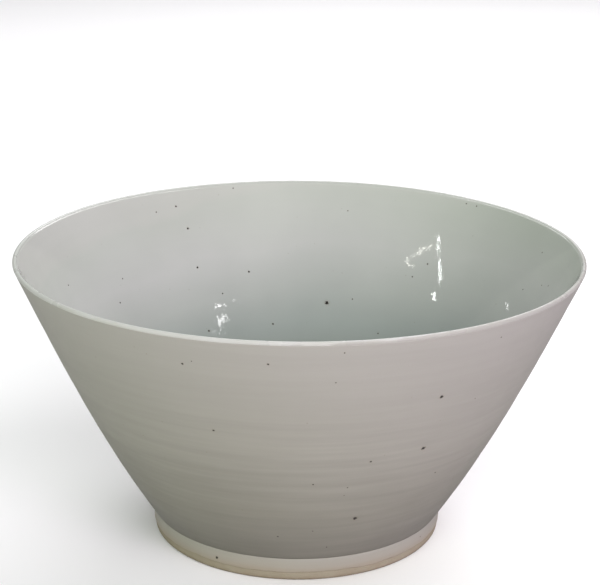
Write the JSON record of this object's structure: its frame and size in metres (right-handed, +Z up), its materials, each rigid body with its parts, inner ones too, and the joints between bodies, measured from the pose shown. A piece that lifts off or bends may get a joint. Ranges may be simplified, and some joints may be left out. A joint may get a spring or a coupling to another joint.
{
  "type": "ceramic bowl",
  "caption": "Wide cone-shaped thrown ceramic bowl on a short foot ring, glossy celadon glaze inside, satin grey-white glaze outside, bare clay at the resting edge.",
  "frame": {"origin": "middle of the foot ring on the resting face", "axes": "+Z up along the bowl's axis of turning; the bowl is the same all round, so X and Y are free"},
  "size_m": [0.3999, 0.4, 0.206],
  "materials": {
    "clay": "matte",
    "inner_glaze": "gloss",
    "lip_glaze": "gloss",
    "outer_glaze": "satin",
    "foot_glaze": "satin",
    "recess_glaze": "satin"
  },
  "bodies": {
    "root": {"thrown_bowl": "clay", "foot_ring": "clay", "inner_glaze": "inner_glaze", "lip_glaze": "lip_glaze", "outer_glaze": "outer_glaze", "foot_glaze": "foot_glaze", "recess_glaze": "recess_glaze"}
  },
  "joints": []
}
